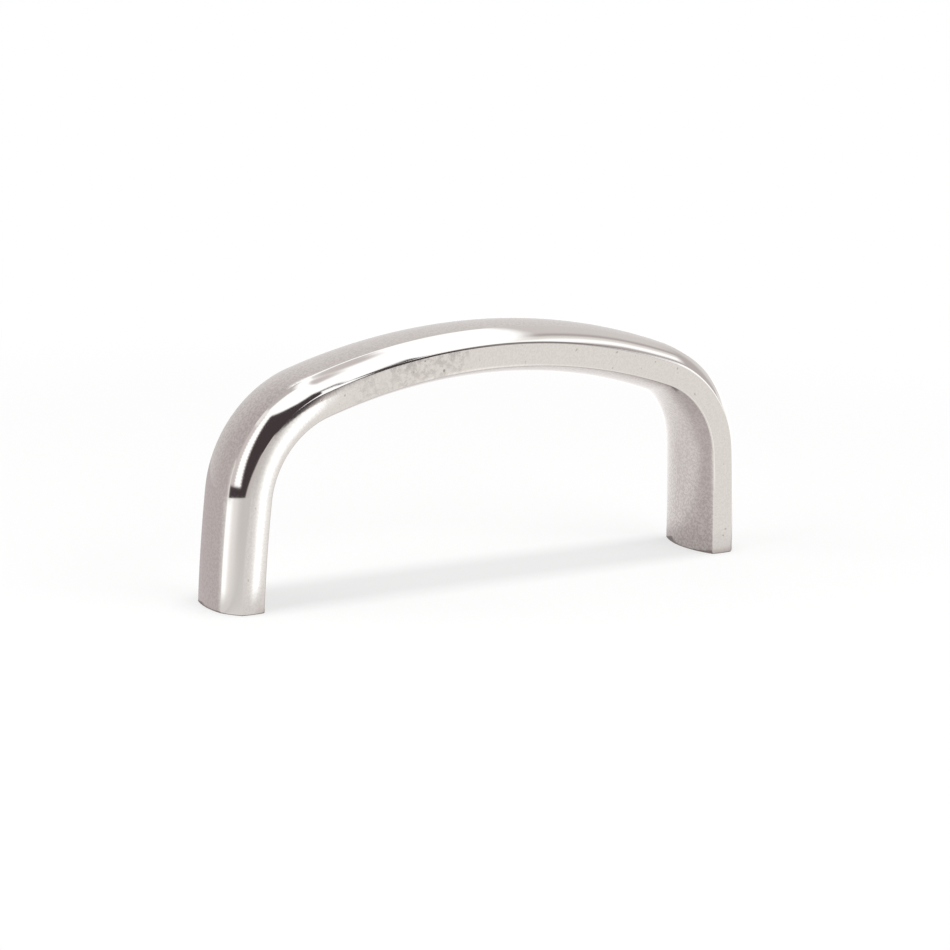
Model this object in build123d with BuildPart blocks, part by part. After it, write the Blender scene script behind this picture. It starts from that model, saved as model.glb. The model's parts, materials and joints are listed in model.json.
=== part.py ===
from build123d import *
import math
import os

# A bow-shaped cabinet pull. The origin lies midway between the two screw holes on the face that meets the door,
# X runs along the pull, Y across the bar and Z away from the door. All sizes are in millimetres and degrees.

# The bow, with its radii measured to the middle of the bar
hole_spacing = 76.2
projection = 35.2
top_radius = 86.2
shoulder_radius = 14.4
leg_radius = 210.0
foot_lean = 1.2

# The bar's section: a crowned outer face, two swelled bevels, two nearly flat sides and a crowned inner face
bar_width = 11.5
bar_thickness = 7.05
outer_face_width = 6.45
outer_crown = 0.45
bevel_drop = 1.9
bevel_swell = 0.12
side_crown = 0.1
inner_crown = 1.5
outer_edge_radius = 0.8
side_edge_radius = 0.5
inner_edge_radius = 0.3

# The blind screw holes, drilled for an 8-32 thread
tap_drill_diameter = 3.45
mouth_chamfer = 0.55
hole_depth = 10.0
drill_point_angle = 118.0

# Length of leg swept past the door face before the feet are cut flat
foot_overrun = 1.0

os.makedirs("parts", exist_ok=True)

# The shoulder arc lies inside the leg arc and the top arc and touches both, so its centre is one corner of a triangle
# whose other corners are the centres of those two arcs.
foot_angle = math.radians(foot_lean)
leg_centre_x = hole_spacing / 2 - leg_radius * math.cos(foot_angle)
leg_centre_z = -leg_radius * math.sin(foot_angle)
top_centre_z = projection - bar_thickness / 2 - top_radius
leg_side = leg_radius - shoulder_radius
top_side = top_radius - shoulder_radius
base = math.hypot(leg_centre_x, top_centre_z - leg_centre_z)
base_angle = math.atan2(top_centre_z - leg_centre_z, -leg_centre_x)
leg_corner = math.acos((leg_side**2 + base**2 - top_side**2) / (2 * leg_side * base))
shoulder_start = base_angle + leg_corner
shoulder_centre_x = leg_centre_x + leg_side * math.cos(shoulder_start)
shoulder_centre_z = leg_centre_z + leg_side * math.sin(shoulder_start)
shoulder_end = math.atan2(shoulder_centre_z - top_centre_z, shoulder_centre_x)

# Turns of the bow's five arcs, and the angle of the leg where the sweep begins below the door face
sweep_start = foot_angle - foot_overrun / leg_radius
sweep_start_x = leg_centre_x + leg_radius * math.cos(sweep_start)
sweep_start_z = leg_centre_z + leg_radius * math.sin(sweep_start)
leg_turn = math.degrees(shoulder_start - sweep_start)
shoulder_turn = math.degrees(shoulder_end - shoulder_start)
top_turn = 180 - 2 * math.degrees(shoulder_end)

# Corners of the section, with levels counted outward from the middle of the bar
half_thickness = bar_thickness / 2
half_width = bar_width / 2
half_face = outer_face_width / 2
half_edge = half_width - side_crown
outer_level = half_thickness - outer_crown
side_level = outer_level - bevel_drop
inner_level = inner_crown - half_thickness
side_middle = (side_level + inner_level) / 2

# Outline of the drilled hole
drill_radius = tap_drill_diameter / 2
mouth_radius = drill_radius + mouth_chamfer
hole_tip = hole_depth + drill_radius / math.tan(math.radians(drill_point_angle / 2))

with BuildPart() as bow_handle:
    # One bar follows five tangent arcs from the right foot over to the left foot
    with BuildLine(Plane.XZ) as bow_line:
        right_leg = JernArc(
            (sweep_start_x, sweep_start_z), (-math.sin(sweep_start), math.cos(sweep_start)), leg_radius, leg_turn
        )
        right_shoulder = JernArc(right_leg @ 1, right_leg % 1, shoulder_radius, shoulder_turn)
        top = JernArc(right_shoulder @ 1, right_shoulder % 1, top_radius, top_turn)
        left_shoulder = JernArc(top @ 1, top % 1, shoulder_radius, shoulder_turn)
        JernArc(left_shoulder @ 1, left_shoulder % 1, leg_radius, leg_turn)
    section_plane = Plane(
        origin=bow_line.line @ 0,
        x_dir=(math.cos(sweep_start), 0, math.sin(sweep_start)),
        z_dir=bow_line.line % 0,
    )
    with BuildSketch(section_plane) as section:
        with BuildLine():
            ThreePointArc((inner_level, -half_edge), (-half_thickness, 0), (inner_level, half_edge))
            ThreePointArc((inner_level, half_edge), (side_middle, half_width), (side_level, half_edge))
            SagittaArc((side_level, half_edge), (outer_level, half_face), bevel_swell)
            ThreePointArc((outer_level, half_face), (half_thickness, 0), (outer_level, -half_face))
            SagittaArc((outer_level, -half_face), (side_level, -half_edge), bevel_swell)
            ThreePointArc((side_level, -half_edge), (side_middle, -half_width), (inner_level, -half_edge))
        make_face()
        fillet(section.vertices().group_by(Axis.X)[-1], outer_edge_radius)
        fillet(section.vertices().group_by(Axis.X)[1], side_edge_radius)
        fillet(section.vertices().group_by(Axis.X)[0], inner_edge_radius)
    sweep(path=bow_line.line)

    # Both feet are cut flat on the door face
    split(bisect_by=Plane.XY, keep=Keep.TOP)

    # A blind hole with a countersunk mouth and a drill point goes up the middle of each foot
    for hole_x in (-hole_spacing / 2, hole_spacing / 2):
        with BuildSketch(Plane.XZ):
            with BuildLine():
                Polyline(
                    (hole_x, 0),
                    (hole_x + mouth_radius, 0),
                    (hole_x + drill_radius, mouth_chamfer),
                    (hole_x + drill_radius, hole_depth),
                    (hole_x, hole_tip),
                    close=True,
                )
            make_face()
        revolve(axis=Axis((hole_x, 0, 0), (0, 0, 1)), mode=Mode.SUBTRACT)

bow_handle.part.label = "bow_handle"
export_step(bow_handle.part, "parts/bow_handle.step")
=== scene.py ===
import json
import math

import bpy
import numpy as np
from bpy.props import FloatProperty, FloatVectorProperty, IntProperty, PointerProperty
from mathutils import Matrix, Vector


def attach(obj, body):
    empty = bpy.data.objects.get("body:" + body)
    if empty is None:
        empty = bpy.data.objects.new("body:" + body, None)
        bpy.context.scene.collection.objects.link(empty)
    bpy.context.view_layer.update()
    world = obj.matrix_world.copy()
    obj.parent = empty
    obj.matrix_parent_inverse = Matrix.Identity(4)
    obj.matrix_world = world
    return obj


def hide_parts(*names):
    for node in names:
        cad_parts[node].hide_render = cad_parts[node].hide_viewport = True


bl_info = {
    "name": "Curved Cabinet Pull",
    "version": (1, 0, 0),
    "blender": (4, 5, 0),
    "location": "3D View > Sidebar > Cabinet Pull",
    "description": "Builds a bow-shaped cabinet pull in polished nickel, with tapped feet, and a small studio round it",
    "category": "Object",
}

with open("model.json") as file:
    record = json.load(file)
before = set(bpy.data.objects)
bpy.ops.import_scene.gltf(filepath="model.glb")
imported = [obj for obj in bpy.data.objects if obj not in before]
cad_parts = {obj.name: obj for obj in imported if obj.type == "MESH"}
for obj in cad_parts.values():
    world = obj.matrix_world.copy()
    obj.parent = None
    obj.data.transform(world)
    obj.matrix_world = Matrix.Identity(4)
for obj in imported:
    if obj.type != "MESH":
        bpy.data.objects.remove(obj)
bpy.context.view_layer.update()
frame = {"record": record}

MM = 0.001
SENSOR_WIDTH = 36.0  # millimetres
FLOOR_HALF = 4.0  # metres
FLOOR_DROP = 0.02 * MM  # keeps the floor clear of the feet
GRAIN_DULLING = 0.62  # how far the grain dulls the metal, where clouding does so fully
screw_holes = next(mount for mount in frame["record"]["mounts"] if mount["name"] == "screw_hole_pair")


def length(name, description, default):
    """A property that holds a length in metres."""
    return FloatProperty(
        name=name, description=description, default=default, min=0.0, precision=5, unit="LENGTH", subtype="DISTANCE"
    )


def angle(name, description, degrees):
    """A property that holds an angle, given in degrees."""
    return FloatProperty(
        name=name, description=description, default=math.radians(degrees), unit="ROTATION", subtype="ANGLE"
    )


def share(name, description, default):
    """A property that holds a number from 0 to 1."""
    return FloatProperty(name=name, description=description, default=default, min=0.0, max=1.0, subtype="FACTOR")


def level(name, description, default):
    """A property that holds a brightness, where 1 is white."""
    return FloatProperty(name=name, description=description, default=default, min=0.0, soft_max=3.0)


def colour(name, description, default):
    """A property that holds a linear colour."""
    return FloatVectorProperty(
        name=name, description=description, default=default, size=3, min=0.0, max=1.0, subtype="COLOR"
    )


def place(name, description, default):
    """A property that holds a point in metres."""
    return FloatVectorProperty(
        name=name, description=description, default=default, size=3, precision=5, unit="LENGTH", subtype="TRANSLATION"
    )


class PullSizes(bpy.types.PropertyGroup):
    """Sizes of the pull, with the bow's radii measured to the middle of the bar."""

    hole_spacing: length(
        "Hole spacing", "Distance between the two screw holes", screw_holes["dims"]["spacing_x_mm"] * MM
    )
    projection: length("Projection", "Height of the bow above the door", 35.2 * MM)
    top_radius: length("Top radius", "Radius of the long arc over the top", 86.2 * MM)
    shoulder_radius: length("Shoulder radius", "Radius of the two shoulders", 14.4 * MM)
    leg_radius: length("Leg radius", "Radius of the nearly straight legs", 210.0 * MM)
    foot_lean: angle("Foot lean", "Lean of the legs at the door", 1.2)
    bar_width: length("Bar width", "Width of the bar across the pull", 11.5 * MM)
    bar_thickness: length("Bar thickness", "Thickness of the bar from its inner to its outer face", 7.05 * MM)
    outer_face_width: length("Outer face width", "Width of the outer face between its two bevels", 6.45 * MM)
    outer_crown: length("Outer crown", "Rise of the outer face over its width", 0.45 * MM)
    bevel_drop: length("Bevel drop", "Depth of the bevels below the outer face", 1.9 * MM)
    bevel_swell: length("Bevel swell", "Rise of each bevel over its width", 0.12 * MM)
    side_crown: length("Side crown", "Rise of each side over its width", 0.1 * MM)
    inner_crown: length("Inner crown", "Rise of the inner face over its width", 1.5 * MM)
    outer_edge_radius: length("Outer edge radius", "Radius between the outer face and a bevel", 0.8 * MM)
    side_edge_radius: length("Side edge radius", "Radius between a bevel and a side", 0.5 * MM)
    inner_edge_radius: length("Inner edge radius", "Radius between a side and the inner face", 0.3 * MM)
    foot_edge_radius: length("Foot edge radius", "Radius of the broken edge round each foot", 0.1 * MM)
    drill_radius: length("Drill radius", "Radius of the drilled holes", screw_holes["dims"]["hole_r_mm"] * MM)
    mouth_chamfer: length("Mouth chamfer", "Depth of the countersink at each hole", 0.55 * MM)
    hole_depth: length("Hole depth", "Depth of each hole up to its drill point", 10.0 * MM)
    drill_point: angle("Drill point", "Angle of the cone at the end of each hole", 118.0)
    thread_radius: length("Thread radius", "Outer radius of the screw thread", 2.083 * MM)
    thread_pitch: length("Thread pitch", "Rise of the thread in one turn", 0.79375 * MM)
    thread_length: length("Thread length", "Length of each hole that is tapped", 8.4 * MM)
    thread_steps: IntProperty(name="Thread steps", description="Rows of the mesh in one turn of the thread", default=9)


class PullFinish(bpy.types.PropertyGroup):
    """Colours and polish of the nickel plate and of the metal under it."""

    nickel: colour("Nickel", "Colour of the clean plate", (0.745, 0.705, 0.67))
    clouded: colour("Clouded nickel", "Colour of the plate where it is clouded", (0.59, 0.55, 0.525))
    pitted: colour("Pits", "Colour inside the fine pits of the casting", (0.36, 0.33, 0.32))
    bare: colour("Bare metal", "Colour of the zinc cut by the tap", (0.50, 0.50, 0.51))
    bare_dark: colour("Bare metal, dull", "Colour of the cut zinc where it is dull", (0.33, 0.33, 0.345))
    polish: share("Polish", "Roughness of the mirror-bright plate", 0.06)
    haze: share("Haze", "Roughness of the plate where it is clouded", 0.17)


class StudioLook(bpy.types.PropertyGroup):
    """The floor, the light and the camera."""

    camera_place: place("Camera place", "Where the camera stands", (-0.191034, -0.297657, 0.093510))
    camera_aim: place("Camera aim", "The point at the middle of the picture", (-0.000882, 0.000280, 0.013771))
    camera_roll: angle("Camera roll", "Turn of the camera about its own axis", 1.918)
    camera_lens: FloatProperty(
        name="Lens", description="Focal length on a 36 mm sensor, in millimetres", default=100.734
    )
    paper: colour("Paper", "Colour of the floor", (0.94, 0.94, 0.935))
    whitening: share("Whitening", "How far the camera sees the floor near the pull as plain white", 0.6)
    table_left: length("Table edge, left", "How far the floor reaches to the left, as the metal shows it", 0.155)
    table_front: length("Table edge, front", "How far the floor reaches to the front, as the metal shows it", 0.258)
    fill: level("Fill", "Brightness of the light from all round", 0.45)
    lamp_power: FloatProperty(name="Lamp power", description="Power of the overhead lamp in watts", default=1.8)
    side_power: FloatProperty(name="Side lamp power", description="Power of each side lamp in watts", default=1.3)
    # The colours below are what the metal shows: the studio round it, and the painted light and painted shade of the
    # floor that lit_floor makes from them
    softbox: colour("Softbox", "Colour of the lamps, as the metal shows them", (0.93, 0.97, 1.0))
    softbox_level: level("Softbox level", "Brightness of the lamps, as the metal shows them", 1.52)
    wall_left: colour("Wall, left", "Colour of the backdrop to the left, as the metal shows it", (0.624, 0.582, 0.597))
    wall_right: colour("Wall, right", "Colour of the backdrop to the right, as the metal shows it", (0.82, 0.81, 0.81))
    card: colour("Card", "Colour of the white cards and the lit floor, as the metal shows them", (0.965, 0.96, 0.95))
    rim: colour("Rim", "Colour of the round softbox's rim, as the metal shows it", (0.53, 0.50, 0.505))
    room: colour("Room", "Colour of the room behind the camera, as the metal shows it", (0.07, 0.056, 0.062))
    table_side: colour(
        "Table side", "Colour of what stands low before the camera, as the metal shows it", (0.70, 0.67, 0.67)
    )


# Shapes

SKIN, FOOT, HOLE = 0, 1, 2


def rounding_centre(first, second, radius, corner):
    """Centre of the rounding between two arcs, each given as (centre, radius).

    The rounding touches both arcs from inside, so its centre is as far from each arc's centre as that arc's radius less
    its own. Two points are, and the one nearer the corner is it.
    """
    (a, ra), (b, rb) = first, second
    ra, rb = ra - radius, rb - radius
    apart = b - a
    span = np.hypot(*apart)
    along = (ra**2 - rb**2 + span**2) / (2 * span)
    beside = math.sqrt(ra**2 - along**2)
    foot = a + apart / span * along
    across = np.array((-apart[1], apart[0])) / span * beside
    return min(foot + across, foot - across, key=lambda point: np.hypot(*(point - corner)))


def section_outline(size):
    """The outline of the bar's section: level out from the middle, offset across the bar, and direction of the normal.

    Every edge of the section and every rounding is an arc, and each meets the next on a shared normal. The outline is
    therefore walked by the direction f of its normal, from the middle of the outer face once round: the point is the
    centre of the arc that has that normal plus the arc's radius times (cos f, sin f).
    """
    half_thickness, half_width = size.bar_thickness / 2, size.bar_width / 2
    half_face, half_edge = size.outer_face_width / 2, half_width - size.side_crown
    outer_level = half_thickness - size.outer_crown
    side_level = outer_level - size.bevel_drop
    inner_level = size.inner_crown - half_thickness

    def crown_radius(half_chord, rise):
        return (half_chord**2 + rise**2) / (2 * rise)

    outer_corner = np.array((outer_level, half_face))
    side_corner = np.array((side_level, half_edge))
    inner_corner = np.array((inner_level, half_edge))
    outer_radius = crown_radius(half_face, size.outer_crown)
    inner_radius = crown_radius(half_edge, size.inner_crown)
    side_radius = crown_radius((side_level - inner_level) / 2, size.side_crown)
    chord = outer_corner - side_corner
    bevel_radius = crown_radius(np.hypot(*chord) / 2, size.bevel_swell)
    bevel_out = np.array((-chord[1], chord[0])) / np.hypot(*chord)
    bevel_middle = (outer_corner + side_corner) / 2

    outer = (np.array((half_thickness - outer_radius, 0.0)), outer_radius)
    bevel = (bevel_middle - bevel_out * (bevel_radius - size.bevel_swell), bevel_radius)
    side = (np.array(((side_level + inner_level) / 2, half_width - side_radius)), side_radius)
    inner = (np.array((inner_radius - half_thickness, 0.0)), inner_radius)
    roundings = [
        (rounding_centre(outer, bevel, size.outer_edge_radius, outer_corner), size.outer_edge_radius),
        (rounding_centre(bevel, side, size.side_edge_radius, side_corner), size.side_edge_radius),
        (rounding_centre(side, inner, size.inner_edge_radius, inner_corner), size.inner_edge_radius),
    ]
    arcs = [outer, roundings[0], bevel, roundings[1], side, roundings[2], inner]
    turns = [0.0]
    for edge, rounding, next_edge in zip(arcs[0:5:2], arcs[1:6:2], arcs[2:7:2]):
        for neighbour in (edge, next_edge):
            towards = rounding[0] - neighbour[0]
            turns.append(math.atan2(towards[1], towards[0]))
    turns.append(math.pi)
    steps = (10, 4, 9, 8, 9, 8, 14)

    normal = np.concatenate([np.linspace(a, b, n, endpoint=False) for a, b, n in zip(turns, turns[1:], steps)])
    centre = np.concatenate([np.tile(arc[0], (n, 1)) for arc, n in zip(arcs, steps)])
    radius = np.concatenate([np.full(n, arc[1]) for arc, n in zip(arcs, steps)])
    out = centre[:, 0] + radius * np.cos(normal)
    across = centre[:, 1] + radius * np.sin(normal)
    # The other half mirrors this one, from the middle of the inner face back to the outer face
    out = np.concatenate([out, [-half_thickness], out[:0:-1]])
    across = np.concatenate([across, [0.0], -across[:0:-1]])
    normal = np.concatenate([normal, [math.pi], -normal[:0:-1]])
    return out, across, normal


def bow_arcs(size):
    """Centres and turns of the bow's right half: leg, shoulder and top.

    The shoulder lies inside the leg's arc and the top's arc and touches both, so its centre is one corner of a triangle
    whose other corners are their centres and whose sides are the differences of the radii.
    """
    leg = np.array((
        size.hole_spacing / 2 - size.leg_radius * math.cos(size.foot_lean),
        -size.leg_radius * math.sin(size.foot_lean),
    ))
    top = np.array((0.0, size.projection - size.bar_thickness / 2 - size.top_radius))
    leg_side, top_side = size.leg_radius - size.shoulder_radius, size.top_radius - size.shoulder_radius
    base = top - leg
    span = np.hypot(*base)
    corner = math.acos((leg_side**2 + span**2 - top_side**2) / (2 * leg_side * span))
    start = math.atan2(base[1], base[0]) + corner
    shoulder = leg + leg_side * np.array((math.cos(start), math.sin(start)))
    end = math.atan2(shoulder[1] - top[1], shoulder[0] - top[0])
    return leg, shoulder, top, start, end


def bow_skin(size):
    """The bar's skin as a grid of points and normals, from foot to foot along rows and once round the section.

    A section point at level u and offset v, carried along an arc of the bow with centre C and radius R, is
    C + (R + u) (cos t, sin t) in the plane of the bow and v across it. Its normal is cos f times (cos t, sin t) plus
    sin f across. The rows of a leg start where that point stands one foot radius above the door, so the angle there is
    the arcsine of its height over the arc's centre divided by R + u. The left half mirrors the right.
    """
    out, across, normal = section_outline(size)
    leg, shoulder, top, start, end = bow_arcs(size)
    leg_rows, shoulder_rows, top_rows = 36, 52, 56
    foot = np.arcsin((size.foot_edge_radius - leg[1]) / (size.leg_radius + out))
    rise = np.linspace(0.0, 1.0, leg_rows, endpoint=False)[:, None]
    turn = np.concatenate([
        foot + (start - foot) * rise,
        np.linspace(start, end, shoulder_rows, endpoint=False)[:, None] + 0 * out,
        np.linspace(end, math.pi / 2, top_rows)[:, None] + 0 * out,
    ])
    rows = (leg_rows, shoulder_rows, top_rows)
    centre = np.concatenate([np.tile(c, (n, 1)) for c, n in zip((leg, shoulder, top), rows)])
    radius = np.concatenate([
        np.full(n, r) for n, r in zip(rows, (size.leg_radius, size.shoulder_radius, size.top_radius))
    ])
    reach = radius[:, None] + out
    points = np.stack([
        centre[:, :1] + reach * np.cos(turn), across + 0 * turn, centre[:, 1:] + reach * np.sin(turn)
    ], -1)
    normals = np.stack([np.cos(normal) * np.cos(turn), np.sin(normal) + 0 * turn, np.cos(normal) * np.sin(turn)], -1)
    mirror = np.array((-1.0, 1.0, 1.0))
    points = np.concatenate([points, points[-2::-1] * mirror])
    normals = np.concatenate([normals, normals[-2::-1] * mirror])
    return points, normals


def foot_edge(ring, ring_normals, size):
    """The rounded edge between the skin and the foot's flat, as rows of points and normals below the skin's last row.

    At turn q from 0 to 90 degrees a point has moved in along the level part of the skin's normal by the edge radius
    times (1 - cos q), and stands at the radius times (1 - sin q) above the door.
    """
    edge_rows = 4
    turn = np.linspace(0.0, math.pi / 2, edge_rows + 1)[1:, None, None]
    level_normal = ring_normals * np.array((1.0, 1.0, 0.0))
    level_normal /= np.linalg.norm(level_normal, axis=-1, keepdims=True)
    down = np.array((0.0, 0.0, -1.0))
    points = ring + size.foot_edge_radius * (down * np.sin(turn) - level_normal * (1 - np.cos(turn)))
    points[-1, :, 2] = 0.0
    normals = level_normal * np.cos(turn) + down * np.sin(turn)
    return points, normals


def tapped_hole(hole_x, bearing, size):
    """The wall of a tapped blind hole, as rows of points from its mouth to the rim of its drill point.

    The radius at height z and bearing b is the larger of two: the countersink, mouth radius less z, and the thread, the
    drill radius plus the groove's depth times a flat-topped wave of z / pitch - b / turn, which fades out over the last
    turn of the tap.
    """
    mouth = size.drill_radius + size.mouth_chamfer
    step = size.thread_pitch / size.thread_steps
    count = math.ceil((size.thread_length + size.thread_pitch) / step)
    height = np.concatenate([np.linspace(0.0, count * step, count + 1), [size.hole_depth]])[:, None]
    phase = height / size.thread_pitch - bearing / (2 * math.pi)
    from_groove = np.abs(phase - np.floor(phase) - 0.5)
    # Half of the groove's flat and the width of a flank, as shares of the pitch
    root, flank = 1 / 16, 5 / 16
    wave = np.clip((root + flank - from_groove) / flank, 0.0, 1.0)
    fade = np.clip((size.thread_length - height) / size.thread_pitch, 0.0, 1.0)
    thread = size.drill_radius + (size.thread_radius - size.drill_radius) * wave * fade
    radius = np.maximum(thread, mouth - height)
    return np.stack([hole_x + radius * np.cos(bearing), radius * np.sin(bearing), height + 0 * radius], -1)


def grid_normals(points, outward):
    """Normals of a grid closed round its columns: the cross product of its two differences, turned by outward."""
    along = np.gradient(points, axis=0)
    round_it = np.roll(points, -1, axis=1) - np.roll(points, 1, axis=1)
    normals = np.cross(round_it, along) * outward
    return normals / np.maximum(np.linalg.norm(normals, axis=-1, keepdims=True), 1e-12)


def foot_closing(ring, ring_normals, hole_x, outward, size):
    """Everything under one foot, as zones of rows of points and normals, from the skin's last row to the drill point.

    The flat of the foot is ruled between the inside of its rounded edge and the mouth of the hole, whose points lie on
    the same bearings from the hole's axis.
    """
    edge_points, edge_normals = foot_edge(ring, ring_normals, size)
    last = edge_points[-1]
    bearing = np.arctan2(last[:, 1], last[:, 0] - hole_x)
    wall = tapped_hole(hole_x, bearing, size)
    blend = np.array((0.0, 0.04, 0.3, 0.65, 0.96, 1.0))[:, None, None]
    flat = last * (1 - blend) + wall[0] * blend
    flat_normals = np.zeros_like(flat) + np.array((0.0, 0.0, -1.0))
    tip = np.array((hole_x, 0.0, size.hole_depth + size.drill_radius / math.tan(size.drill_point / 2)))
    half_way_up_cone = (wall[-1:] + tip) / 2
    wall = np.concatenate([wall, half_way_up_cone])
    zones = [
        (SKIN, edge_points, edge_normals),
        (FOOT, flat, flat_normals),
        (HOLE, wall, grid_normals(wall, outward)),
    ]
    return zones, tip


def pull_surface(size):
    """The whole pull as one closed grid from the drill point in its right foot to the one in its left foot.

    Returns the points of the rows, the two end points, and for each band between two rows its zone and the normals of
    its lower and upper row. Zones meet on a shared row of points, each with normals of its own, which keeps that edge
    crisp.
    """
    skin, skin_normals = bow_skin(size)
    half = size.hole_spacing / 2
    right, right_tip = foot_closing(skin[0], skin_normals[0], half, -1.0, size)
    left, left_tip = foot_closing(skin[-1], skin_normals[-1], -half, 1.0, size)
    right_edge, left_edge = right.pop(0), left.pop(0)
    body = (
        SKIN,
        np.concatenate([right_edge[1][::-1], skin, left_edge[1]]),
        np.concatenate([right_edge[2][::-1], skin_normals, left_edge[2]]),
    )
    turned = [(zone, points[::-1], normals[::-1]) for zone, points, normals in reversed(right)]
    zones = turned + [body] + left
    rows = np.concatenate([zones[0][1]] + [points[1:] for _, points, _ in zones[1:]])
    band_zone = np.concatenate([np.full(len(points) - 1, zone) for zone, points, _ in zones])
    lower = np.concatenate([normals[:-1] for _, _, normals in zones])
    upper = np.concatenate([normals[1:] for _, _, normals in zones])
    return rows, (right_tip, left_tip), band_zone, lower, upper


def face_wear(normal, place):
    """How strongly each point shows the casting's grain and the clouding, and how much of it the clouding covers.

    The first two go by the turn of the section's normal. The grain is strong on the outer and the inner face, which are
    hardly polished, and faint on the bevels, which are mirror bright. It grows towards the feet on the inner face and
    towards the shoulders on the outer one, by bell curves of the height. The clouding is on the sides. Its cover goes
    by the place along the pull, as a bell curve over a lower level, and is largest left of the middle.
    """
    foot_reach, shoulder_height, shoulder_reach = 9.0 * MM, 25.0 * MM, 5.0 * MM
    patch_middle, patch_reach = -10.5 * MM, 9.0 * MM
    along, height = place[..., 0], place[..., 2]

    def bell(value, middle, reach):
        return np.exp(-(((value - middle) / reach) ** 2))

    turn = np.degrees(np.abs(normal))
    grain = np.interp(
        turn, (0, 14, 22, 45, 60, 83, 97, 120, 150, 180), (0.85, 0.85, 0.1, 0.05, 0.1, 0.42, 0.38, 0.2, 1.0, 1.0)
    )
    inner = np.interp(turn, (140, 155), (0.0, 1.0))
    outer = np.interp(turn, (14, 22), (1.0, 0.0))
    clouding = np.interp(turn, (0, 16, 28, 47, 75, 84, 97, 120, 180), (0.1, 0.1, 0.0, 0.0, 0.3, 1.0, 1.0, 0.2, 0.15))
    grain = grain * (1.0 + 0.7 * inner * bell(height, 0.0, foot_reach))
    grain = grain * (1.0 + 0.6 * outer * bell(height, shoulder_height, shoulder_reach))
    cover = 0.42 + 0.5 * bell(along, patch_middle, patch_reach)
    return np.stack([grain, clouding + 0 * cover, cover], -1)


def closed_grid_mesh(name, rows, tips, band_zone, lower, upper, wear):
    """A mesh of quads between the rows of a grid closed round its columns, with a fan of triangles at each end.

    A fan runs to its tip. A band's quad runs from column j to j + 1 on its lower row and back on its upper row. Each
    corner takes the normal that its band gives it, each face the material of its zone, and each point its own wear.
    """
    row_count, columns = rows.shape[:2]
    here = np.arange(columns)
    after = np.roll(here, -1)
    band = np.arange(row_count - 1)[:, None] * columns
    quads = np.stack([band + here, band + after, band + columns + after, band + columns + here], -1).reshape(-1, 4)
    first_tip, last_tip = row_count * columns, row_count * columns + 1
    top_row = (row_count - 1) * columns
    fans = np.concatenate([
        np.stack([after, here, np.full(columns, first_tip)], -1),
        np.stack([top_row + here, top_row + after, np.full(columns, last_tip)], -1),
    ])
    corners = np.concatenate([quads.ravel(), fans.ravel()])
    starts = np.concatenate([np.arange(len(quads)) * 4, len(quads) * 4 + np.arange(len(fans)) * 3])
    quad_normals = np.stack([lower, np.roll(lower, -1, axis=1), np.roll(upper, -1, axis=1), upper], 2).reshape(-1, 3)
    normals = np.concatenate([quad_normals, np.zeros((fans.size, 3))])
    materials = np.concatenate([np.repeat(band_zone, columns), np.full(len(fans), HOLE)])

    mesh = bpy.data.meshes.new(name)
    points = np.concatenate([rows.reshape(-1, 3), np.array(tips)])
    mesh.vertices.add(len(points))
    mesh.vertices.foreach_set("co", points.astype(np.float32).ravel())
    mesh.loops.add(len(corners))
    mesh.loops.foreach_set("vertex_index", corners.astype(np.int32))
    mesh.polygons.add(len(starts))
    mesh.polygons.foreach_set("loop_start", starts.astype(np.int32))
    mesh.polygons.foreach_set("material_index", materials.astype(np.int32))
    mesh.polygons.foreach_set("use_smooth", np.ones(len(starts), bool))
    mesh.update(calc_edges=True)
    if mesh.validate():
        raise RuntimeError(f"the mesh of {name} had faults")
    mesh.normals_split_custom_set(normals.astype(np.float32))
    point_wear = np.concatenate([wear.reshape(-1, 3), np.zeros((2, 3))])
    wear_attribute = mesh.attributes.new("wear", "FLOAT_VECTOR", "POINT")
    wear_attribute.data.foreach_set("vector", point_wear.astype(np.float32).ravel())
    return mesh


# Finishes


def add(tree, kind, sockets=None, **settings):
    """Adds a node to a tree, with its settings, and fills each named or numbered input with a value or a link."""
    node = tree.nodes.new(kind)
    for name, value in settings.items():
        setattr(node, name, value)
    for name, value in (sockets or {}).items():
        if isinstance(value, bpy.types.NodeSocket):
            tree.links.new(value, node.inputs[name])
        else:
            node.inputs[name].default_value = value
    return node


def fade(tree, value, low, high):
    """A smooth step of value, 0 at low and 1 at high. It falls where low is the larger."""
    return add(
        tree, "ShaderNodeMapRange", {"Value": value, "From Min": low, "From Max": high}, interpolation_type="SMOOTHSTEP"
    ).outputs["Result"]


def arithmetic(tree, operation, first, second=0.0):
    """The result of a Math node with two inputs."""
    return add(tree, "ShaderNodeMath", {0: first, 1: second}, operation=operation).outputs["Value"]


def mix(tree, factor, first, second, **settings):
    """The result of a Mix node. It has sockets of the same name for each type of data, of which one is enabled."""
    node = add(tree, "ShaderNodeMix", **settings)
    for name, value in zip(("Factor", "A", "B"), (factor, first, second)):
        socket = next(s for s in node.inputs if s.name == name and s.enabled)
        if isinstance(value, bpy.types.NodeSocket):
            tree.links.new(value, socket)
        else:
            socket.default_value = (*value, 1.0) if socket.type == "RGBA" else value
    return next(s for s in node.outputs if s.enabled)


def blend_numbers(tree, factor, first, second):
    """A number between first and second, by factor."""
    return mix(tree, factor, first, second, data_type="FLOAT")


def blend_colours(tree, factor, first, second, mode="MIX"):
    """A colour between first and second, by factor. The mode DARKEN goes no further than the darker of the two."""
    return mix(tree, factor, first, second, data_type="RGBA", blend_type=mode)


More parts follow.
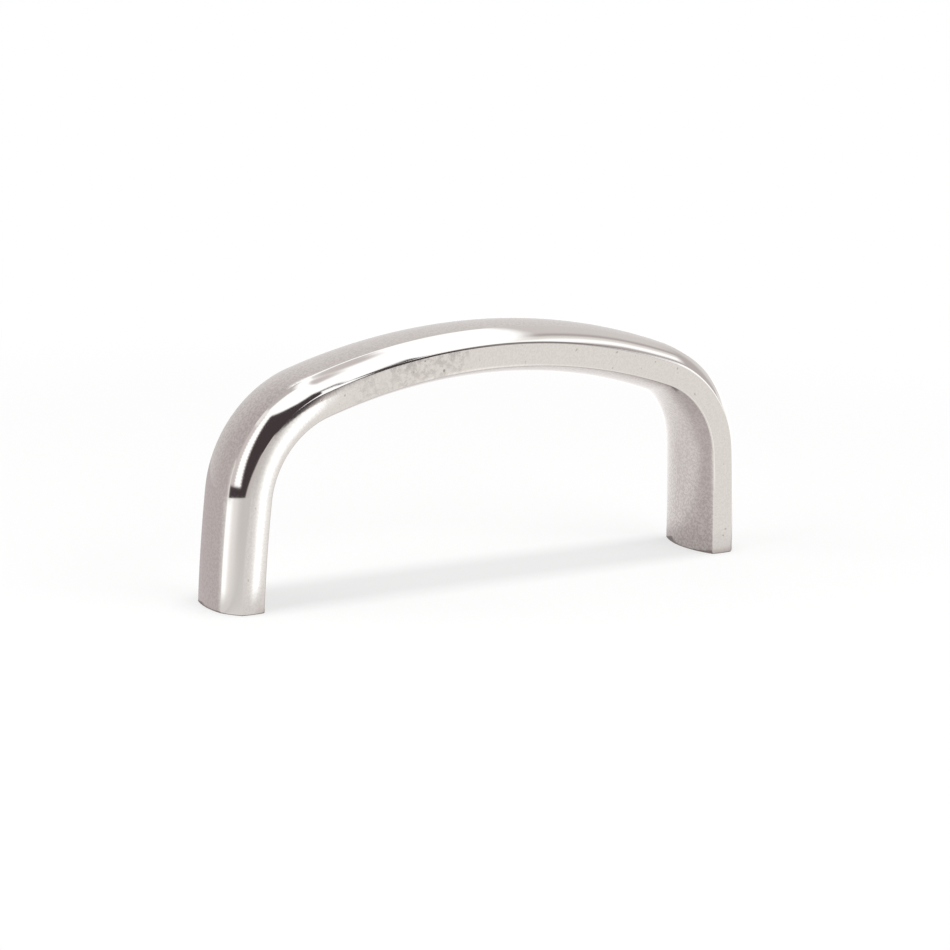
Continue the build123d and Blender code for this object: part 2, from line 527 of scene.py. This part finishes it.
def casting_marks_group():
    """What casting and polishing leave on the metal: clouds, pits, grain, and a height for the ripple and the grain.

    Clouds are patches of a coarse noise broken up by a fine one. Grain is a fine noise all over. Pits are the lowest
    spots of another fine noise, deeper inside the patches. The height adds a slow ripple, the grain and the pits.
    """
    group = bpy.data.node_groups.new("casting_marks", "ShaderNodeTree")
    for name, default in (
        ("Patch Size", 120.0),
        ("Grain Size", 2600.0),
        ("Cloud Cover", 0.5),
        ("Clouding", 1.0),
        ("Pit Cover", 0.5),
        ("Ripple", 0.5),
        ("Grain", 0.5),
    ):
        group.interface.new_socket(name, in_out="INPUT", socket_type="NodeSocketFloat").default_value = default
    for name in ("Clouds", "Pits", "Grain", "Height"):
        group.interface.new_socket(name, in_out="OUTPUT", socket_type="NodeSocketFloat")
    given = add(group, "NodeGroupInput").outputs
    where = add(group, "ShaderNodeTexCoord").outputs["Object"]

    def noise(scale, detail, roughness=0.5):
        return add(
            group, "ShaderNodeTexNoise", {"Vector": where, "Scale": scale, "Detail": detail, "Roughness": roughness}
        ).outputs["Fac"]

    def times(first, second):
        return arithmetic(group, "MULTIPLY", first, second)

    patches = noise(given["Patch Size"], 2.0)
    ripple = noise(times(given["Patch Size"], 2.2), 1.0)
    fine = noise(given["Grain Size"], 2.0, 0.6)
    worms = noise(times(given["Grain Size"], 0.5), 2.0, 0.6)
    specks = noise(times(given["Grain Size"], 0.42), 1.0)

    patch_line = arithmetic(group, "SUBTRACT", 0.85, times(given["Cloud Cover"], 0.5))
    patch = fade(group, patches, patch_line, arithmetic(group, "ADD", patch_line, 0.16))
    clouds = times(times(patch, fade(group, worms, 0.34, 0.68)), given["Clouding"])
    pit_line = arithmetic(group, "ADD", 0.20, times(given["Pit Cover"], 0.2))
    pits = fade(group, specks, pit_line, arithmetic(group, "SUBTRACT", pit_line, 0.06))
    pits = times(times(pits, arithmetic(group, "ADD", times(patch, 0.4), 0.6)), given["Clouding"])
    grain = times(fade(group, fine, 0.4, 0.6), given["Grain"])
    height = arithmetic(group, "ADD", times(ripple, given["Ripple"]), times(grain, 0.04))
    height = arithmetic(group, "SUBTRACT", height, times(pits, 0.2))
    add(group, "NodeGroupOutput", {"Clouds": clouds, "Pits": pits, "Grain": grain, "Height": height})
    return group


def metal(name, marks, values, clean, clouded, pitted, roughness, haze, bump_depth, by_face=False):
    """A metal whose colour, roughness and height follow the casting marks, and by_face the wear of each face."""
    material = bpy.data.materials.new(name)
    material.use_nodes = True
    tree = material.node_tree
    tree.nodes.clear()
    mark = add(tree, "ShaderNodeGroup", node_tree=marks)
    for socket, value in values.items():
        mark.inputs[socket].default_value = value
    if by_face:
        wear = add(tree, "ShaderNodeAttribute", attribute_name="wear").outputs["Vector"]
        parts = add(tree, "ShaderNodeSeparateXYZ", {"Vector": wear}).outputs
        tree.links.new(parts["X"], mark.inputs["Grain"])
        tree.links.new(parts["Y"], mark.inputs["Clouding"])
        tree.links.new(parts["Z"], mark.inputs["Cloud Cover"])
    grain_dull = arithmetic(tree, "MULTIPLY", mark.outputs["Grain"], GRAIN_DULLING)
    dull = arithmetic(tree, "MAXIMUM", mark.outputs["Clouds"], grain_dull)
    tint = blend_colours(tree, dull, clean, clouded)
    tint = blend_colours(tree, mark.outputs["Pits"], tint, pitted)
    rough = blend_numbers(tree, dull, roughness, haze)
    bump = add(
        tree, "ShaderNodeBump", {"Strength": 1.0, "Distance": bump_depth, "Height": mark.outputs["Height"]}
    ).outputs["Normal"]
    surface = add(
        tree, "ShaderNodeBsdfPrincipled", {"Base Color": tint, "Metallic": 1.0, "Roughness": rough, "Normal": bump}
    )
    add(tree, "ShaderNodeOutputMaterial", {"Surface": surface.outputs["BSDF"]})
    return material


def polished_nickel(finish, marks):
    """The plate on the skin: mirror bright, with clouded patches, sandy grain and fine pits."""
    values = {"Patch Size": 95.0, "Grain Size": 3000.0, "Pit Cover": 0.38, "Ripple": 1.0}
    return metal(
        "polished_nickel", marks, values, finish.nickel, finish.clouded, finish.pitted,
        roughness=finish.polish, haze=finish.haze, bump_depth=1.6e-5, by_face=True,
    )


def plated_foot(finish, marks):
    """The plate on the flat of the feet, which is ground and not polished."""
    values = {
        "Patch Size": 260.0, "Grain Size": 3600.0, "Cloud Cover": 0.9, "Pit Cover": 0.8, "Ripple": 0.3, "Grain": 0.8
    }
    return metal(
        "plated_foot", marks, values, finish.nickel, finish.clouded, finish.pitted,
        roughness=0.28, haze=0.42, bump_depth=1.2e-5,
    )


def cut_thread(finish, marks):
    """The bare metal that the drill and the tap leave in the holes."""
    values = {
        "Patch Size": 400.0, "Grain Size": 5200.0, "Cloud Cover": 0.8, "Pit Cover": 0.5, "Ripple": 0.3, "Grain": 0.7
    }
    return metal(
        "cut_thread", marks, values, finish.bare, finish.bare_dark, finish.pitted,
        roughness=0.3, haze=0.5, bump_depth=1.0e-5,
    )


# The studio


def tone_ramp(tree, value, stops):
    """A colour by value, straight between stops. Each stop is a value and a colour, in rising order."""
    low, high = stops[0][0], stops[-1][0]
    at = add(tree, "ShaderNodeMapRange", {"Value": value, "From Min": low, "From Max": high}).outputs["Result"]
    ramp = add(tree, "ShaderNodeValToRGB", {"Fac": at})
    elements = ramp.color_ramp.elements
    for stop, tone in stops[1:-1]:
        elements.new((stop - low) / (high - low)).color = (*tone, 1.0)
    elements[0].color, elements[-1].color = (*stops[0][1], 1.0), (*stops[-1][1], 1.0)
    return ramp.outputs["Color"]


def softbox_light(look):
    """The lamps' colour times their brightness, as the metal shows them."""
    return tuple(part * look.softbox_level for part in look.softbox)


def lit_floor(tree, where, look):
    """The floor's brightness as the metal shows it.

    These are painted tones, which the floor gives off as light to the metal: a painted reflection, with painted light
    and painted shade. Round the left foot it is a fan: painted shade to the back left, a painted bright band to the
    left where a lamp stands low, and painted dimming in front of the pull, more so further out. A painted bright strip
    of light lies to the front right, and a painted spot of light before the right foot. Between the legs lies the bow's
    painted shadow, which is deepest at the right foot and gets lighter towards the back and the right. The painted
    light fades close to the feet, and a painted dark line of contact shade runs round each where it meets the floor.
    """
    start = 60.0  # the bearing, in degrees, at which every fan begins and ends
    left_foot = (-0.0384, -0.0057, 0.0)
    fan_middle = (-0.041, -0.0032, 0.0)
    spot_middle = (0.042, -0.057, 0.0)
    deepest_shadow = (0.037, -0.001, 0.0)

    def vector(operation, first, second=(0.0, 0.0, 0.0), output="Vector"):
        return add(tree, "ShaderNodeVectorMath", {0: first, 1: second}, operation=operation).outputs[output]

    def bearing_from(foot):
        turned = add(
            tree, "ShaderNodeMapping",
            {"Vector": vector("SUBTRACT", where, foot), "Rotation": (0.0, 0.0, -math.radians(start + 180.0))},
            vector_type="VECTOR",
        ).outputs["Vector"]
        parts = add(tree, "ShaderNodeSeparateXYZ", {"Vector": turned}).outputs
        return arithmetic(tree, "ARCTAN2", parts["Y"], parts["X"])

    def by_bearing(foot, stops):
        return tone_ramp(tree, bearing_from(foot), [(math.radians(at - start - 180.0), tone) for at, tone in stops])

    def grey(tone):
        return (tone, tone, tone)

    def product(*factors):
        result = factors[0]
        for factor in factors[1:]:
            result = arithmetic(tree, "MULTIPLY", result, factor)
        return result

    lamp = softbox_light(look)
    far = vector("LENGTH", where, output="Value")
    # Painted fan of light and shade round the left foot, as the metal sees the floor
    shown = by_bearing(fan_middle, [
        (60, look.wall_left), (141, look.wall_left), (149, grey(0.84)), (156, grey(1.1)), (166, grey(1.25)),
        (174, lamp), (183, lamp), (188, grey(1.1)), (193, grey(0.97)), (201, grey(0.85)), (209, grey(0.77)),
        (225, grey(0.81)), (260, grey(0.87)), (290, grey(0.90)), (296, look.card), (420, look.card),
    ])
    dim = by_bearing(left_foot, [
        (60, grey(0.0)), (192, grey(0.0)), (202, grey(1.0)), (290, grey(1.0)), (297, grey(0.0)), (420, grey(0.0)),
    ])
    shown = blend_colours(tree, product(dim, fade(tree, far, 0.045, 0.11)), shown, (0.745, 0.74, 0.735))
    # Painted strip of light to the front right, then a painted spot of light before the right foot
    strip = by_bearing(left_foot, [
        (60, grey(0.0)), (289, grey(0.0)), (294, grey(0.2)), (299, grey(1.0)), (304.5, grey(1.0)), (309, grey(0.35)),
        (315, grey(0.0)), (420, grey(0.0)),
    ])
    beside = vector("DOT_PRODUCT", where, (0.9063, 0.4226, 0.0), "Value")
    strip = product(strip, fade(tree, beside, -0.016, -0.020), fade(tree, far, 0.27, 0.23))
    shown = blend_colours(tree, strip, shown, tuple(1.12 * part for part in lamp))
    spot = fade(tree, vector("DISTANCE", where, spot_middle, "Value"), 0.019, 0.011)
    shown = blend_colours(tree, spot, shown, grey(1.25))

    # Painted shadow of the bow between the legs, deepest near the right foot, as the metal sees the floor
    place_on = add(tree, "ShaderNodeSeparateXYZ", {"Vector": where}).outputs
    shadow = blend_colours(tree, fade(tree, place_on["Y"], 0.0, 0.016), look.wall_left, (0.83, 0.81, 0.82))
    to_right = arithmetic(tree, "ADD", place_on["X"], arithmetic(tree, "MULTIPLY", place_on["Y"], 0.3))
    lighter = add(tree, "ShaderNodeMapRange", {"Value": to_right, "From Min": 0.028, "From Max": 0.085})
    shadow = blend_colours(tree, lighter.outputs["Result"], shadow, grey(1.25))
    from_deepest = vector("DISTANCE", where, deepest_shadow, "Value")
    shadow = blend_colours(tree, fade(tree, from_deepest, 0.020, 0.002), shadow, (0.53, 0.50, 0.505))
    behind = product(fade(tree, place_on["Y"], -0.011, -0.005), fade(tree, place_on["X"], -0.040, -0.034))
    shown = blend_colours(tree, behind, shown, shadow)

    # Distance from the nearer foot: its outline is a rectangle whose outer corners are cut off by the bevels
    folded = vector("SUBTRACT", vector("ABSOLUTE", where), (0.0381, 0.0, 0.0))
    outside = vector("SUBTRACT", vector("ABSOLUTE", folded), (0.0035, 0.0057, 1.0))
    outside = vector("LENGTH", vector("MAXIMUM", outside), output="Value")
    past_bevel = arithmetic(tree, "SUBTRACT", vector("DOT_PRODUCT", folded, (0.788, 0.616, 0.0), "Value"), 0.0045)
    from_foot = arithmetic(tree, "MAXIMUM", outside, past_bevel)
    # Painted shade near the feet: the painted light is held down, and a painted dark contact line runs round each foot
    shown = blend_colours(tree, fade(tree, from_foot, 0.015, 0.002), shown, grey(0.86), "DARKEN")
    return blend_colours(tree, fade(tree, from_foot, 0.0007, 0.0001), shown, (0.27, 0.245, 0.25))


def paper_floor(look):
    """The pale floor. It keeps the pull's shadow near the pull, and is plain white to the camera far from it.

    The metal sees instead a glowing table painted with the light and shade of lit_floor, a painted reflection in place
    of the lit paper, that ends in straight edges to the left and the front.
    """
    edge_softness = 0.03
    material = bpy.data.materials.new("paper_floor")
    material.use_nodes = True
    tree = material.node_tree
    tree.nodes.clear()
    where = add(tree, "ShaderNodeTexCoord").outputs["Object"]
    rays = add(tree, "ShaderNodeLightPath").outputs
    far = add(tree, "ShaderNodeVectorMath", {0: where}, operation="LENGTH").outputs["Value"]
    paper = add(tree, "ShaderNodeBsdfDiffuse", {"Color": (*look.paper, 1.0)}).outputs["BSDF"]
    white = add(tree, "ShaderNodeEmission", {"Strength": 1.0}).outputs["Emission"]
    whiteness = blend_numbers(tree, fade(tree, far, 0.09, 0.2), look.whitening, 1.0)
    seen_white = arithmetic(tree, "MULTIPLY", whiteness, rays["Is Camera Ray"])
    shader = add(tree, "ShaderNodeMixShader", {0: seen_white, 1: paper, 2: white}).outputs["Shader"]
    lit = lit_floor(tree, where, look)
    # The painted reflection: lit_floor's painted light and painted shade, given off as light to glossy rays only
    table = add(tree, "ShaderNodeEmission", {"Color": lit, "Strength": 1.0}).outputs["Emission"]
    gone = add(tree, "ShaderNodeBsdfTransparent").outputs["BSDF"]
    for heading, edge in (((-0.88, 0.47, 0.0), look.table_left), ((0.42, -0.91, 0.0), look.table_front)):
        reach = add(tree, "ShaderNodeVectorMath", {0: where, 1: heading}, operation="DOT_PRODUCT").outputs["Value"]
        table = add(
            tree, "ShaderNodeMixShader", {0: fade(tree, reach, edge, edge + edge_softness), 1: table, 2: gone}
        ).outputs["Shader"]
    shader = add(tree, "ShaderNodeMixShader", {0: rays["Is Glossy Ray"], 1: shader, 2: table}).outputs["Shader"]
    add(tree, "ShaderNodeOutputMaterial", {"Surface": shader})
    return material


def studio_surround(look, camera_bearing):
    """What surrounds the pull: white to the camera, an even fill to matt surfaces, and to the metal a studio.

    That studio has a backdrop that is lighter to the right, a wide softbox overhead, cards and a tall row of bulbs to
    the left, a round softbox with a dim rim to the right, low white cards, a narrow lamp, and a dark room behind the
    camera. Bearings run from the camera, seen from the pull, and are positive towards the right of the picture. Each
    part lies over the ones before it.
    """
    world = bpy.data.worlds.new("studio_surround")
    world.use_nodes = True
    tree = world.node_tree
    tree.nodes.clear()
    direction = add(tree, "ShaderNodeTexCoord").outputs["Generated"]
    rays = add(tree, "ShaderNodeLightPath").outputs
    turned = add(
        tree, "ShaderNodeMapping", {"Vector": direction, "Rotation": (0.0, 0.0, -camera_bearing)}, vector_type="VECTOR"
    ).outputs["Vector"]
    parts = add(tree, "ShaderNodeSeparateXYZ", {"Vector": turned}).outputs
    rise = arithmetic(tree, "ARCSINE", parts["Z"])
    bearing = arithmetic(tree, "ARCTAN2", parts["Y"], parts["X"])

    def between(value, low, high, soft):
        low, high, soft = np.radians((low, high, soft)).tolist()
        return arithmetic(
            tree, "MULTIPLY", fade(tree, value, low - soft, low + soft), fade(tree, value, high + soft, high - soft)
        )

    def panel(bearings, rises, soft):
        return arithmetic(tree, "MULTIPLY", between(bearing, *bearings, soft), between(rise, *rises, soft))

    def disc(at_bearing, at_rise, radius, soft):
        at_bearing, at_rise = math.radians(at_bearing), math.radians(at_rise)
        middle = (
            math.cos(at_rise) * math.cos(at_bearing), math.cos(at_rise) * math.sin(at_bearing), math.sin(at_rise)
        )
        nearness = add(
            tree, "ShaderNodeVectorMath", {0: turned, 1: middle}, operation="DOT_PRODUCT"
        ).outputs["Value"]
        return fade(tree, nearness, math.cos(math.radians(radius + soft)), math.cos(math.radians(radius - soft)))

    def under(value, edge, soft):
        return fade(tree, value, math.radians(edge + soft), math.radians(edge - soft))

    def sloping(share):
        return arithmetic(tree, "ADD", rise, arithmetic(tree, "MULTIPLY", bearing, share))

    lamp = softbox_light(look)
    grey_patch = (0.74, 0.71, 0.715)
    round_softbox = (88.0, 10.0)
    side = add(
        tree, "ShaderNodeVectorMath", {0: direction, 1: (0.8, 0.6, 0.0)}, operation="DOT_PRODUCT"
    ).outputs["Value"]
    shown = blend_colours(tree, fade(tree, side, -0.2, 0.9), look.wall_left, look.wall_right)
    dark_room = arithmetic(tree, "MULTIPLY", between(bearing, -40.5, 57.0, 1.8), under(sloping(-0.24), 64.8, 1.5))
    dark_room = arithmetic(tree, "MULTIPLY", dark_room, under(rise, 71.2, 1.3))
    table_side = arithmetic(tree, "MULTIPLY", under(sloping(0.77), 35.4, 1.8), under(rise, 25.5, 2.5))
    leaning = arithmetic(tree, "SUBTRACT", bearing, arithmetic(tree, "MULTIPLY", rise, 0.37))
    table_side = arithmetic(tree, "MULTIPLY", table_side, between(leaning, -31.0, 59.0, 1.2))
    bulbs = arithmetic(tree, "SINE", arithmetic(tree, "MULTIPLY", rise, 360.0 / 2.3))
    scalloped = arithmetic(tree, "ADD", bearing, arithmetic(tree, "MULTIPLY", bulbs, math.radians(0.9)))
    row_of_bulbs = arithmetic(tree, "MULTIPLY", between(scalloped, -52.0, -42.0, 0.9), between(rise, 3.0, 57.0, 1.2))
    for tone, cover in (
        # The round softbox to the right with its dim rim
        (look.rim, disc(*round_softbox, 53.0, 1.8)),
        (look.card, disc(*round_softbox, 49.8, 1.6)),
        (lamp, disc(*round_softbox, 46.5, 1.2)),
        (look.rim, disc(*round_softbox, 42.0, 1.5)),
        ((0.25, 0.235, 0.24), panel((68.0, 93.0), (22.0, 47.0), 4.0)),
        ((0.60, 0.57, 0.575), panel((118.0, 146.0), (-5.0, 29.0), 4.0)),
        (lamp, panel((97.0, 121.0), (18.0, 34.0), 3.0)),
        # The softbox overhead, with a grey patch near its middle and a grey left end
        (lamp, panel((-200.0, 200.0), (54.5, 95.0), 2.0)),
        (grey_patch, disc(100.0, 85.5, 3.5, 2.3)),
        (grey_patch, disc(156.0, 79.0, 4.8, 2.0)),
        (grey_patch, disc(171.0, 73.5, 3.2, 1.8)),
        ((0.66, 0.63, 0.64), panel((-135.0, -57.0), (50.0, 80.5), 3.0)),
        # The dark room behind the camera, and what stands low in it
        (look.room, panel((52.0, 66.0), (0.0, 62.0), 2.5)),
        (look.room, panel((55.0, 84.0), (58.0, 66.5), 1.5)),
        (look.room, dark_room),
        (look.table_side, table_side),
        # Low cards and a low lamp to the right
        (look.card, panel((58.6, 150.0), (-95.0, 4.0), 1.2)),
        (lamp, panel((78.0, 118.0), (0.0, 23.0), 3.0)),
        # Cards and a tall row of bulbs to the left
        (look.card, panel((-88.0, -61.0), (-95.0, 18.0), 3.0)),
        ((0.78, 0.74, 0.75), panel((-60.0, -51.0), (3.0, 45.0), 1.5)),
        ((1.08, 1.08, 1.08), panel((-74.0, -53.0), (45.0, 58.0), 2.0)),
        (look.room, panel((-58.5, -33.0), (-95.0, 2.5), 1.2)),
        (lamp, row_of_bulbs),
        # A narrow lamp to the right of the camera
        (lamp, panel((44.0, 54.3), (10.0, 69.5), 1.2)),
    ):
        shown = blend_colours(tree, cover, shown, tone)
    light = blend_colours(tree, rays["Is Glossy Ray"], (look.fill,) * 3, shown)
    light = blend_colours(tree, rays["Is Camera Ray"], light, (1.0, 1.0, 1.0))
    surround = add(tree, "ShaderNodeBackground", {"Color": light, "Strength": 1.0}).outputs["Background"]
    add(tree, "ShaderNodeOutputWorld", {"Surface": surround})
    return world


def area_lamp(scene, name, stand, aim, width, height, power):
    """A rectangular lamp at a point, facing another point, that neither the camera nor the metal sees."""
    lamp = bpy.data.lights.new(name, "AREA")
    lamp.shape = "RECTANGLE"
    lamp.size, lamp.size_y = width, height
    lamp.energy = power
    lamp_object = bpy.data.objects.new(name, lamp)
    turn = (Vector(aim) - Vector(stand)).to_track_quat("-Z", "Y").to_matrix().to_4x4()
    lamp_object.matrix_world = Matrix.Translation(Vector(stand)) @ turn
    lamp_object.visible_camera = False
    lamp_object.visible_glossy = False
    scene.collection.objects.link(lamp_object)


def floor_mesh():
    """A flat square of four quads, just under the pull's feet."""
    line = np.linspace(-FLOOR_HALF, FLOOR_HALF, 3)
    x, y = np.meshgrid(line, line)
    points = np.stack([x, y, np.full_like(x, -FLOOR_DROP)], -1).reshape(-1, 3)
    corner = (np.arange(2)[:, None] * 3 + np.arange(2)).ravel()
    faces = np.stack([corner, corner + 1, corner + 4, corner + 3], -1)
    mesh = bpy.data.meshes.new("floor")
    mesh.from_pydata(points.tolist(), [], faces.tolist())
    return mesh


def camera_matrix(look):
    """Where the camera stands and how it is turned: it looks at its aim, upright, then rolls about its own axis."""
    stand, aim = Vector(look.camera_place), Vector(look.camera_aim)
    turn = (aim - stand).to_track_quat("-Z", "Y").to_matrix().to_4x4()
    return Matrix.Translation(stand) @ turn @ Matrix.Rotation(look.camera_roll, 4, "Z")


class PULL_OT_make_bow(bpy.types.Operator):
    """Make the polished bow with its tapped feet, in the place of the plain solid"""

    bl_idname = "pull.make_bow"
    bl_label = "Make the bow"
    bl_options = {"REGISTER", "UNDO"}

    def execute(self, context):
        sizes, finish = context.scene.pull_sizes, context.scene.pull_finish
        surface = pull_surface(sizes)
        wear = face_wear(section_outline(sizes)[2], surface[0])
        mesh = closed_grid_mesh("polished_bow", *surface, wear)
        marks = casting_marks_group()
        for material in (polished_nickel(finish, marks), plated_foot(finish, marks), cut_thread(finish, marks)):
            mesh.materials.append(material)
        bow = bpy.data.objects.new("polished_bow", mesh)
        context.scene.collection.objects.link(bow)
        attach(bow, "root")
        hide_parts("bow_handle")
        return {"FINISHED"}


class PULL_OT_set_stage(bpy.types.Operator):
    """Lay the floor, light the studio and set up the camera"""

    bl_idname = "pull.set_stage"
    bl_label = "Set the stage"
    bl_options = {"REGISTER", "UNDO"}

    def execute(self, context):
        scene, look = context.scene, context.scene.studio_look
        bearing = math.atan2(look.camera_place[1], look.camera_place[0])
        floor = bpy.data.objects.new("floor", floor_mesh())
        floor.data.materials.append(paper_floor(look))
        scene.collection.objects.link(floor)
        scene.world = studio_surround(look, bearing)

        middle = (0.0, 0.0, 0.0)
        under_lamp = (0.04, -0.012, 0.0)
        area_lamp(scene, "overhead_lamp", (0.04, -0.012, 0.7), under_lamp, 0.3, 0.12, look.lamp_power)
        area_lamp(scene, "front_right_lamp", (0.228, -0.477, 0.28), middle, 0.6, 0.45, look.side_power)
        area_lamp(scene, "left_lamp", (-0.525, 0.074, 0.28), middle, 0.6, 0.45, look.side_power)

        camera = bpy.data.cameras.new("camera")
        camera.lens, camera.sensor_width = look.camera_lens, SENSOR_WIDTH
        camera.clip_start, camera.clip_end = 0.01, 20.0
        camera_object = bpy.data.objects.new("camera", camera)
        camera_object.matrix_world = camera_matrix(look)
        scene.collection.objects.link(camera_object)
        scene.camera = camera_object
        scene.view_settings.view_transform = "Standard"
        return {"FINISHED"}


class PULL_PT_panel(bpy.types.Panel):
    """Sizes, finish and studio of the pull, with a button for each thing to make"""

    bl_idname = "PULL_PT_panel"
    bl_label = "Cabinet Pull"
    bl_space_type = "VIEW_3D"
    bl_region_type = "UI"
    bl_category = "Cabinet Pull"

    def draw(self, context):
        scene = context.scene
        for operator, group in (
            (PULL_OT_make_bow, scene.pull_sizes),
            (PULL_OT_make_bow, scene.pull_finish),
            (PULL_OT_set_stage, scene.studio_look),
        ):
            box = self.layout.box()
            for name in type(group).__annotations__:
                box.prop(group, name)
            box.operator(operator.bl_idname)


CLASSES = (PullSizes, PullFinish, StudioLook, PULL_OT_make_bow, PULL_OT_set_stage, PULL_PT_panel)


def register():
    """Adds the classes to Blender, and the three groups of properties to the scene"""
    for cls in CLASSES:
        bpy.utils.register_class(cls)
    bpy.types.Scene.pull_sizes = PointerProperty(type=PullSizes)
    bpy.types.Scene.pull_finish = PointerProperty(type=PullFinish)
    bpy.types.Scene.studio_look = PointerProperty(type=StudioLook)


def unregister():
    """Takes away what register adds"""
    del bpy.types.Scene.studio_look
    del bpy.types.Scene.pull_finish
    del bpy.types.Scene.pull_sizes
    for cls in reversed(CLASSES):
        bpy.utils.unregister_class(cls)


def main():
    """Makes the pull and its stage"""
    register()
    bpy.ops.pull.make_bow()
    bpy.ops.pull.set_stage()


if __name__ == "__main__":
    main()
